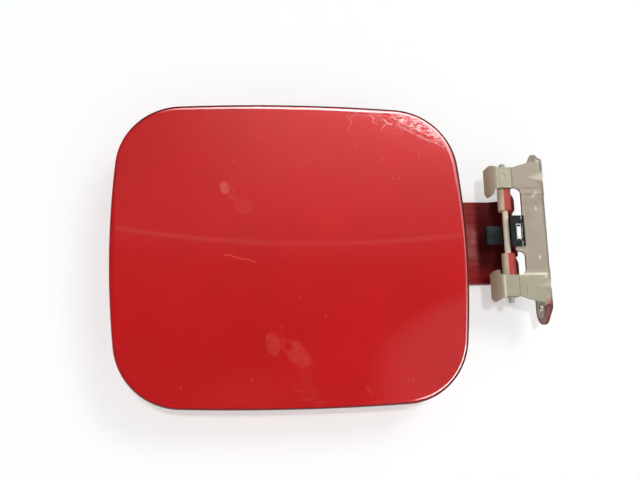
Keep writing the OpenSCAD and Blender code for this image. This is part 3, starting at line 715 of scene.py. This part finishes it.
def pin_paint():
    """Pin paint much paler than the bracket's beige, painted light against the shade the pin sits
    in; greyer and painted over on the ends past the lugs.
    """
    t = Tree("pin_paint")
    cloud = t.noise(150, 4, 0.6)
    base = t.mix(t.ramp(cloud, 0.35, 0.7), *PIN_LIT_PALES)
    base = t.mix(t.ramp(t.noise(500, 3, 0.6), 0.66, 0.74, 0, 0.4), base, PIN_SPECK)
    end = t.ramp(t.size(t.z), PIN_HI[2] - 3.0 * MM, PIN_HI[2] - 2.6 * MM)
    base = t.mix(end, base, PIN_END)
    t.set(Base_Color=base, Roughness=t.ramp(cloud, 0.3, 0.7, 0.26, 0.4),
          Normal=t.bump(t.noise(600, 3, 0.6), 0.00005, 0.5), Coat_Weight=0.2)
    return t.mat


def nylon(hinge):
    """Black moulded plastic, with painted highlights beside the clip's slot."""
    t = Tree("clip_nylon")
    cloud = t.noise(120, 4, 0.6)
    scuff = t.ramp(t.noise(300, 5, 0.7), 0.55, 0.75)
    base = t.tint(hinge.nylon, (0.035, 0.042, 0.040), scuff, 0.4)
    dx, _, dz = t.from_pin()
    # Painted highlights: a patchy glint near the slot's right side, and a thin line along the
    # slot's left edge.
    front = t.ramp(t.y, PIN.y - 3.0 * MM, PIN.y - 3.6 * MM)
    slot_glint = t.mul(t.ramp(t.size(t.sub(dx, 5.75)), 0.42, 0.22),
                t.ramp(t.noise(760, 3, 0.6), 0.45, 0.53))
    lip = t.mul(t.ramp(t.size(t.sub(dx, 3.35)), 0.26, 0.12),
                t.ramp(t.size(t.add(dz, 0.6)), 4.4, 3.8))
    base = t.tint(base, (0.62, 0.63, 0.60), t.most(slot_glint, t.mul(lip, 0.8)), front, 0.9)
    t.set(Base_Color=base, Roughness=t.ramp(cloud, 0.3, 0.7, 0.36, 0.5),
          Normal=t.bump(t.noise(900, 3, 0.6), 0.00004, 0.6), Specular_IOR_Level=0.08)
    return t.mat


def rubber():
    """Dusty black rubber of the buffers."""
    t = Tree("buffer_rubber")
    dust = t.ramp(t.noise(140, 5, 0.65), 0.45, 0.7)
    base = t.mix(dust, (0.018, 0.018, 0.018), (0.045, 0.043, 0.040))
    t.set(Base_Color=base, Roughness=t.ramp(dust, 0.0, 1.0, 0.55, 0.8),
          Normal=t.bump(t.noise(1300, 3, 0.6), 0.00006, 0.6))
    return t.mat


def zinc():
    """Zinc-plated steel of the striker, with some grime."""
    t = Tree("striker_zinc")
    patch = t.noise(260, 3, 0.6)
    grime = t.ramp(t.noise(90, 5, 0.7), 0.5, 0.75)
    base = t.mix(t.ramp(patch, 0.3, 0.7), (0.50, 0.50, 0.49), (0.64, 0.64, 0.62))
    base = t.tint(base, (0.30, 0.26, 0.20), grime, 0.5)
    t.set(Base_Color=base, Metallic=0.9, Roughness=t.ramp(patch, 0.3, 0.7, 0.30, 0.48),
          Normal=t.bump(t.noise(500, 3, 0.6), 0.00005, 0.6))
    return t.mat


# ---------------------------------------------------------------- operators

# Rings of the face's mesh from its middle to its roll, and the rounding of the hem's lip
# as a part of the sheet's thickness.
FACE_RINGS = 30
SKIN_LIP = 0.4
# The inner panel: its sheet, its gap to the skin, its step inside the hem, and its recess.
INNER_T, INNER_GAP = 0.8 * MM, 0.3 * MM
STEP_START, STEP_W = 1.5 * MM, 5 * MM
RECESS_R, RECESS_D, RECESS_OFF = 27 * MM, 2.4 * MM, 14 * MM
# The bead of sealer: its middle inside the hem's edge and below its back, its size and
# flatness, its waves along the loop, and its seed.
BEAD_IN, BEAD_SUNK = 0.2 * MM, 0.55 * MM
BEAD_R, BEAD_WAVE, BEAD_RANDOM, BEAD_FLAT = 0.95, 0.16, 0.06, 1.5
BEAD_SEED, BEAD_SIDES = 11, 8


class FUELDOOR_OT_skin(bpy.types.Operator):
    """Build the painted skin with its crowned face and hemmed edge"""

    bl_idname = "fueldoor.skin"
    bl_label = "Painted skin"

    def execute(self, context):
        s = context.scene.fuel_door_panel
        form = DoorForm(s)
        t, h, w, front_r = s.skin_t, s.hem_t, s.hem_w, s.front_r
        # The face rolls over gently before the fold itself turns to the side.
        turn = math.radians(s.roll)
        side_y = s.roll_r * (1 - math.cos(turn)) + front_r * math.cos(turn)
        r = min(s.fold_r, h - side_y)
        roll_w = front_r * (1 - math.sin(turn)) + s.roll_r * math.sin(turn)
        inner = form.outline(roll_w)
        rings = []
        for k in range(1, FACE_RINGS):
            f = k / FACE_RINGS
            rings.append(form.follow([(x * f, z * f) for x, z in inner], 0))
        # The section from the roll round the edge and the hem to the skin's back, as
        # distances inside the outline and behind the face.
        lip = SKIN_LIP * t
        section = arc(roll_w, s.roll_r, s.roll_r, -90, -90 - s.roll, 6)
        section += arc(front_r, side_y, front_r, -90 - s.roll, -180, 10)[1:]
        section += arc(r, h - r, r, 180, 90, 8)
        section += [(0.5 * (r + w), h), (w - lip, h)]
        section += arc(w - lip, h - lip, lip, 90, 0, 3)[1:]
        section += [(w, h - t), (t, h - t), (t, t), (w, t)]
        rings += [form.follow(form.outline(d), y) for d, y in section]
        for f in (0.7, 0.4):
            rings.append(form.follow([(x * f, z * f) for x, z in inner], t))
        mesh = ring_mesh("painted_skin", rings, (DOOR.x, DOOR.y, DOOR.z),
                         (DOOR.x, DOOR.y + t, DOOR.z))
        skin = new_object("painted_skin", mesh)
        skin.modifiers.new("normals", "WEIGHTED_NORMAL").keep_sharp = True
        paint(skin, red_gloss(s, True))
        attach(skin, "door")
        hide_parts("outer_panel")
        return {"FINISHED"}


class FUELDOOR_OT_inner(bpy.types.Operator):
    """Build the inner panel with its rounded pressed steps and the hem sealer"""

    bl_idname = "fueldoor.inner"
    bl_label = "Inner panel"

    def execute(self, context):
        s = context.scene.fuel_door_panel
        form = DoorForm(s)
        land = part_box("inner_panel")[1][1]
        w = s.hem_w
        # The rim's level behind the face, and the land's front side.
        rim = s.skin_t + INNER_GAP
        land_y = land - INNER_T
        step = w + STEP_START
        land_d = step + STEP_W

        def disc(r):
            """Circle of the recess with as many points as the door's outline."""
            turns = [math.atan2(z / form.hh, x / form.hw) for x, z in form.outline(0)]
            return [(r * math.cos(a) - RECESS_OFF, r * math.sin(a)) for a in turns]

        def blend(f):
            """Ring between the rim's level and the land, f from 0 to 1."""
            ease = f * f * (3 - 2 * f)
            return [(DOOR.x + x,
                     (DOOR.y + form.crown(x, z) + rim) * (1 - ease) + land_y * ease,
                     DOOR.z + z) for x, z in form.outline(step + f * (land_d - step))]

        def recess(f):
            """Ring on the wall of the recess, f from 0 to 1."""
            ease = f * f * (3 - 2 * f)
            return form.flat(disc(RECESS_R - f * RECESS_D), land_y - RECESS_D * ease)

        front = [form.follow(form.outline(d), rim) for d in (rim, w)]
        front += [blend(i / 10) for i in range(11)]
        front.append(form.flat([(0.55 * (x - u) + u, 0.55 * (z - v) + v) for (x, z), (u, v) in
                                zip(form.outline(land_d), disc(RECESS_R))], land_y))
        front += [recess(i / 8) for i in range(9)]
        back = [[(x, y + INNER_T, z) for x, y, z in ring] for ring in front]
        middle = (DOOR.x - RECESS_OFF, land - RECESS_D, DOOR.z)
        mesh = ring_mesh("inner_stamping", back[::-1] + front, middle,
                         (middle[0], middle[1] - INNER_T, middle[2]))
        inner = new_object("inner_stamping", mesh)
        inner.modifiers.new("normals", "WEIGHTED_NORMAL").keep_sharp = True
        back_paint = red_gloss(s, False)
        paint(inner, back_paint)
        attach(inner, "door")
        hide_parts("inner_panel")

        # Sealer: a brushed bead where the hem meets the inner panel.
        random.seed(BEAD_SEED)
        loop = form.outline(w + BEAD_IN, 20, 20)
        n = len(loop)
        rings = []
        for j, (x, z) in enumerate(loop):
            r = BEAD_R + BEAD_WAVE * math.sin(j * 0.9)
            r = (r + random.uniform(-BEAD_RANDOM, BEAD_RANDOM)) * MM
            px, pz = loop[j - 1]
            qx, qz = loop[(j + 1) % n]
            ux, uz = qx - px, qz - pz
            size = math.hypot(ux, uz)
            nx, nz = uz / size, -ux / size
            y = DOOR.y + form.crown(x, z) + s.hem_t - BEAD_SUNK
            rings.append([(DOOR.x + x + nx * r * BEAD_FLAT * math.cos(a), y + r * math.sin(a),
                           DOOR.z + z + nz * r * BEAD_FLAT * math.cos(a))
                          for a in [2 * math.pi * k / BEAD_SIDES for k in range(BEAD_SIDES)]])
        bead = new_object("hem_sealer", ring_mesh("hem_sealer", rings, closed=True))
        paint(bead, back_paint)
        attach(bead, "door")
        return {"FINISHED"}


class FUELDOOR_OT_arm(bpy.types.Operator):
    """Round the edges of the gooseneck arm and paint it"""

    bl_idname = "fueldoor.arm"
    bl_label = "Gooseneck arm"

    def execute(self, context):
        h = context.scene.fuel_door_hinge
        arm = rounded_copy("hinge_arm", "gooseneck", h.edge)
        paint(arm, arm_red(h))
        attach(arm, "door")
        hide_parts("hinge_arm")
        return {"FINISHED"}


class FUELDOOR_OT_bracket(bpy.types.Operator):
    """Round the edges of the bracket, and paint the bracket and the pin"""

    bl_idname = "fueldoor.bracket"
    bl_label = "Hinge bracket and pin"

    def execute(self, context):
        h = context.scene.fuel_door_hinge
        bracket = rounded_copy("hinge_bracket", "bracket_stamping", h.edge)
        paint(bracket, bracket_beige(h))
        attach(bracket, "bracket")
        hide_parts("hinge_bracket")
        paint(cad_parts["hinge_pin"], pin_paint())
        return {"FINISHED"}


class FUELDOOR_OT_clip(bpy.types.Operator):
    """Round the edges of the moulded spring clip and colour it"""

    bl_idname = "fueldoor.clip"
    bl_label = "Spring clip"

    def execute(self, context):
        h = context.scene.fuel_door_hinge
        clip = rounded_copy("spring_clip", "moulded_clip", 0.25 * MM)
        paint(clip, nylon(h))
        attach(clip, "bracket")
        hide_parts("spring_clip")
        return {"FINISHED"}


class FUELDOOR_OT_latch(bpy.types.Operator):
    """Finish the latch striker and the rubber buffers"""

    bl_idname = "fueldoor.latch"
    bl_label = "Latch striker and buffers"

    def execute(self, context):
        striker = rounded_copy("latch_striker", "striker_plate", 0.2 * MM)
        paint(striker, zinc())
        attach(striker, "door")
        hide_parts("latch_striker")
        soft = rubber()
        for node in ("buffer_upper", "buffer_lower"):
            paint(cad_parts[node], soft)
        return {"FINISHED"}


# The camera, as fitted to the photograph: its turn in degrees (yaw, pitch, roll), its
# place from the pin's middle, the sensor's width in millimetres and the near limit.
CAMERA_TURN = (8.1, 12.2, -1.82)
CAMERA_PLACE = (-0.14984, -0.42387, -0.09597)
SENSOR, NEAR_CLIP = 36, 0.01
# Lamps. The key and the overhead light are seen from the door's middle; the back light
# has its place in the frame and its power in watts.
LAMP_REACH = 1.3
KEY_WAY, KEY_SIZE, KEY_COLOUR = (0.36, -0.88, 0.31), (0.50, 0.42), (1.0, 0.99, 0.975)
OVERHEAD_WAY, OVERHEAD_SIZE = (-0.06, -1.0, -0.02), (0.05, 0.05)
BACK_PLACE, BACK_SIZE, BACK_POWER = (-0.3, 1.3, 0.6), (1.2, 0.9), 3.0
WHITE = (1, 1, 1)
ROOM_PALE = (0.965, 0.965, 0.955)
# Where the mirrored wall begins, as the sine of the height over the horizon.
WALL_FROM, WALL_FULL = 0.2165, 0.2195
TABLE_END = (0.03, 0.028, 0.026)
GLOW_TINT = (1, 1, 0.992)
# Extra glow behind the bracket's windows, painted light against the bracket's shadow.
WINDOW_SHADOW_FILL = 0.26
# The backdrop's left, right, lower and upper borders, and the floor, in metres.
PAPER = (-1.6, 1.4, -1.2, 1.3)
FLOOR_DROP, FLOOR_HALF = 0.22, 3
FLOOR_WHITE = (0.86, 0.86, 0.85)


def area_light(name, where, target, size, power, colour=WHITE):
    data = bpy.data.lights.new(name, "AREA")
    data.shape = "RECTANGLE"
    data.size, data.size_y = size
    data.energy = power
    data.color = colour
    lamp = new_object(name, data)
    turn = (Vector(target) - Vector(where)).to_track_quat("-Z", "Y")
    lamp.matrix_world = Matrix.Translation(where) @ turn.to_matrix().to_4x4()
    return lamp


def sheet_plane(name, corners):
    mesh = bpy.data.meshes.new(name)
    mesh.from_pydata(corners, [], [(0, 1, 2, 3)])
    return new_object(name, mesh)


def photo_camera(lens):
    """The photograph's camera, placed from the pin."""
    data = bpy.data.cameras.new("photo_camera")
    data.lens = lens
    data.sensor_width = SENSOR
    data.clip_start = NEAR_CLIP
    camera = new_object("photo_camera", data)
    yaw, pitch, roll = (math.radians(a) for a in CAMERA_TURN)
    flat = math.cos(pitch)
    ahead = Vector((math.sin(yaw) * flat, math.cos(yaw) * flat, math.sin(pitch)))
    level = Vector((math.cos(yaw), -math.sin(yaw), 0))
    right = level * math.cos(roll) + level.cross(ahead) * math.sin(roll)
    up = right.cross(ahead)
    place = PIN + Vector(CAMERA_PLACE)
    camera.matrix_world = Matrix((
        (right.x, up.x, -ahead.x, place.x), (right.y, up.y, -ahead.y, place.y),
        (right.z, up.z, -ahead.z, place.z), (0, 0, 0, 1)))
    return camera


def mirrored_room(w, brightness):
    """Strength of the room that mirror rays see, by direction: a pale wall over a bright
    sill, dark below it with a soft patch at the lower right, and a bright window."""
    split = w.node("ShaderNodeSeparateXYZ",
                   {0: w.node("ShaderNodeTexCoord").outputs["Generated"]})
    x, y, z = split.outputs
    across = w.sub(x, 0.12)
    level = w.sub(z, w.mul(across, across, 0.27))
    level = w.add(level, w.mul(w.add(x, 0.09), 0.033))
    above = w.ramp(level, WALL_FROM, WALL_FULL)
    wall = w.mul(w.most(w.sub(level, 0.22), 0.0), 2.8, w.ramp(x, -0.16, 0.12))
    wall = w.mul(w.add(wall, 0.40), above)
    sill = w.mul(above, w.ramp(level, 0.2275, 0.2235), 0.40)
    low = w.add(w.mul(w.ramp(level, 0.03, 0.22), 0.12), w.mul(w.ramp(level, 0.17, 0.217), 0.13))
    low = w.mul(w.add(0.12, low), w.ramp(level, WALL_FULL, WALL_FROM))
    bow = w.most(w.add(z, 0.02), 0.0)
    patch = w.ramp(w.sub(x, w.add(0.210, w.mul(bow, bow, 7.5))), 0.0, 0.085)
    patch = w.mul(patch, w.ramp(level, WALL_FROM, 0.15), 0.5)
    room = w.add(wall, sill, w.add(low, patch))
    room = w.mul(room, w.add(0.12, w.mul(w.ramp(y, -0.3, -0.6), 0.88)))
    # The window is dimmed toward the right edge of the door.
    window = w.ramp(w.add(z, w.mul(x, 0.62)), 0.606, 0.613)
    window = w.mul(window, w.ramp(x, -0.25, 0.12, 0.06, 1.0))
    dim = w.mul(w.ramp(x, 0.42, 0.50), w.ramp(z, 0.56, 0.43), 0.86)
    window = w.mul(window, w.sub(1.0, dim))
    # A second light lies to the right, and a bent strip of it at the lower right.
    side = w.mul(w.ramp(x, 0.64, 0.70), w.mul(w.ramp(z, -0.5, -0.4), w.ramp(z, 0.21, 0.0)))
    around = w.length(w.sub(x, 0.35), w.add(z, 0.06))
    around = w.mul(w.ramp(around, 0.31, 0.37), w.ramp(around, 0.54, 0.50))
    around = w.mul(around, w.mul(w.ramp(x, 0.30, 0.46), w.ramp(z, 0.05, -0.08)))
    side = w.most(w.mul(side, 0.42), w.mul(around, 1.1))
    window = w.most(w.mul(window, brightness), w.mul(side, brightness))
    return w.add(room, w.mul(window, w.ramp(y, -0.50, -0.61)))


def backdrop_paper(s):
    """White paper that glows a little, and is clear from behind and for shadow rays."""
    t = Tree("backdrop_paper")
    t.set(Base_Color=s.backdrop, Roughness=0.9, Specular_IOR_Level=0.1)
    clear = t.node("ShaderNodeBsdfTransparent")
    rays = t.node("ShaderNodeLightPath").outputs
    direct = t.most(rays["Is Camera Ray"], rays["Is Glossy Ray"])
    # Behind the bracket's windows the paper glows more: painted light that cancels the bracket's
    # shadow there.
    behind = t.mul(t.ramp(t.x, -11 * MM, -6 * MM), t.ramp(t.x, 14 * MM, 8 * MM),
                   t.mul(t.ramp(t.z, -26 * MM, -20 * MM), t.ramp(t.z, 40 * MM, 33 * MM)))
    glow = t.mul(direct, t.add(s.glow, t.mul(behind, WINDOW_SHADOW_FILL)))
    glow = t.node("ShaderNodeEmission", {"Color": GLOW_TINT, "Strength": glow})
    lit = t.node("ShaderNodeAddShader", {0: t.shader.outputs[0], 1: glow.outputs[0]})
    facing_away = t.node("ShaderNodeNewGeometry").outputs["Backfacing"]
    hide = t.most(facing_away, rays["Is Shadow Ray"])
    # Mirror rays see the table end a little above and to the right of the door.
    end = t.most(t.ramp(t.z, 0.075, 0.085), t.ramp(t.x, -0.012, -0.002))
    end = t.mul(end, rays["Is Glossy Ray"])
    dark = t.node("ShaderNodeEmission", {"Color": TABLE_END, "Strength": 1.0})
    lit = t.node("ShaderNodeMixShader", {0: end, 1: lit.outputs[0], 2: dark.outputs[0]})
    seen = t.node("ShaderNodeMixShader", {0: hide, 1: lit.outputs[0], 2: clear.outputs[0]})
    t.nt.links.new(seen.outputs[0], t.out.inputs[0])
    return t.mat


class FUELDOOR_OT_stage(bpy.types.Operator):
    """Set the camera, the lights, the backdrop and the floor"""

    bl_idname = "fueldoor.stage"
    bl_label = "Camera, light and backdrop"

    def execute(self, context):
        s = context.scene.fuel_door_stage
        scene = context.scene
        scene.view_settings.view_transform = "Standard"
        scene.camera = photo_camera(s.lens)

        # The key light gives the soft shadow to the lower left, the small overhead light
        # the narrow band under the lower edge. Mirrors see the room instead of these two.
        middle = Vector((DOOR.x, DOOR.y, DOOR.z))
        for name, way, size, power, colour in (
                ("key_light", KEY_WAY, KEY_SIZE, s.key, KEY_COLOUR),
                ("overhead_light", OVERHEAD_WAY, OVERHEAD_SIZE, s.top, WHITE)):
            lamp = area_light(name, middle + Vector(way) * LAMP_REACH, middle, size, power, colour)
            lamp.visible_glossy = False
        area_light("back_light", BACK_PLACE, middle, BACK_SIZE, BACK_POWER)

        # Room: pale for the camera, mirrored_room for mirror rays, an even fill otherwise.
        world = bpy.data.worlds.new("room")
        scene.world = world
        world.use_nodes = True
        w = Nodes(world.node_tree)
        w.nt.nodes.clear()
        mirror = w.node("ShaderNodeBackground", {0: WHITE, 1: mirrored_room(w, s.window)})
        fill = w.node("ShaderNodeBackground", {0: WHITE, 1: s.fill})
        pale = w.node("ShaderNodeBackground", {0: ROOM_PALE, 1: 1.0})
        rays = w.node("ShaderNodeLightPath").outputs
        seen = w.node("ShaderNodeMixShader",
                      {0: rays["Is Glossy Ray"], 1: fill.outputs[0], 2: mirror.outputs[0]})
        seen = w.node("ShaderNodeMixShader",
                      {0: rays["Is Camera Ray"], 1: seen.outputs[0], 2: pale.outputs[0]})
        w.node("ShaderNodeOutputWorld", {0: seen.outputs[0]})

        # Backdrop close behind the hinge: it takes the soft shadow.
        low_box, high_box = CAD_BOX
        y = high_box[1] + s.ground
        x0, x1, z0, z1 = PAPER
        backdrop = sheet_plane("backdrop", [(x0, y, z0), (x1, y, z0), (x1, y, z1), (x0, y, z1)])
        paint(backdrop, backdrop_paper(s))

        z, b = low_box[2] - FLOOR_DROP, FLOOR_HALF
        floor = sheet_plane("floor", [(-b, -b, z), (b, -b, z), (b, b, z), (-b, b, z)])
        f = Tree("floor_paper")
        f.set(Base_Color=FLOOR_WHITE, Roughness=0.9)
        paint(floor, f.mat)
        floor.visible_glossy = False
        return {"FINISHED"}


OPERATORS = (
    FUELDOOR_OT_skin, FUELDOOR_OT_inner, FUELDOOR_OT_arm, FUELDOOR_OT_bracket,
    FUELDOOR_OT_clip, FUELDOOR_OT_latch, FUELDOOR_OT_stage,
)
GROUPS = (FuelDoorPanel, FuelDoorHinge, FuelDoorStage)


class FUELDOOR_PT_sidebar(bpy.types.Panel):
    """Lists the sizes, colours and building steps of the fuel door"""

    bl_idname = "FUELDOOR_PT_sidebar"
    bl_label = "Fuel Door"
    bl_space_type = "VIEW_3D"
    bl_region_type = "UI"
    bl_category = "Fuel Door"

    def draw(self, context):
        layout = self.layout
        for settings in (context.scene.fuel_door_panel, context.scene.fuel_door_hinge,
                         context.scene.fuel_door_stage):
            box = layout.box()
            for prop in settings.bl_rna.properties:
                if prop.identifier not in ("rna_type", "name"):
                    box.prop(settings, prop.identifier)
        for operator in OPERATORS:
            layout.operator(operator.bl_idname)


CLASSES = GROUPS + OPERATORS + (FUELDOOR_PT_sidebar,)


def register():
    for cls in CLASSES:
        bpy.utils.register_class(cls)
    bpy.types.Scene.fuel_door_panel = PointerProperty(type=FuelDoorPanel)
    bpy.types.Scene.fuel_door_hinge = PointerProperty(type=FuelDoorHinge)
    bpy.types.Scene.fuel_door_stage = PointerProperty(type=FuelDoorStage)


def unregister():
    del bpy.types.Scene.fuel_door_stage
    del bpy.types.Scene.fuel_door_hinge
    del bpy.types.Scene.fuel_door_panel
    for cls in reversed(CLASSES):
        bpy.utils.unregister_class(cls)


def main():
    register()
    bpy.ops.fueldoor.skin()
    bpy.ops.fueldoor.inner()
    bpy.ops.fueldoor.arm()
    bpy.ops.fueldoor.bracket()
    bpy.ops.fueldoor.clip()
    bpy.ops.fueldoor.latch()
    bpy.ops.fueldoor.stage()


if __name__ == "__main__":
    main()
